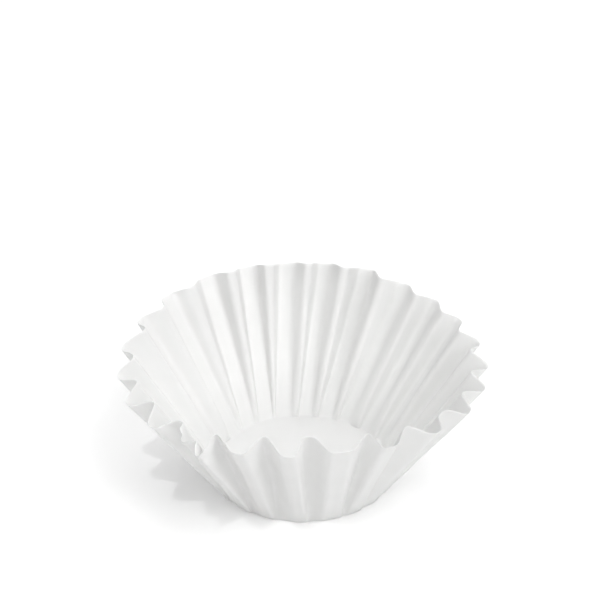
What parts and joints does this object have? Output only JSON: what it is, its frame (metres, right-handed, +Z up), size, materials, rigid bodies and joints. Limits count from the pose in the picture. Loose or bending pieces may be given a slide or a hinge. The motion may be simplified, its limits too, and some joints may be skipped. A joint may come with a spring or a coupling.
{
  "type": "paper coffee filter",
  "caption": "Round basket coffee filter: a flat paper base with a fluted wall that flares to a wavy rim.",
  "frame": {"origin": "centre of the round base, on its underside", "axes": "+Z up out of the open mouth, -Y towards the side that the picture shows in front, +X to its right"},
  "size_m": [0.1473, 0.1454, 0.0634],
  "materials": {
    "filter_paper": "matt bleached filter paper with a faint felt grain"
  },
  "bodies": {
    "root": {"paper_filter": "filter_paper"}
  },
  "joints": []
}
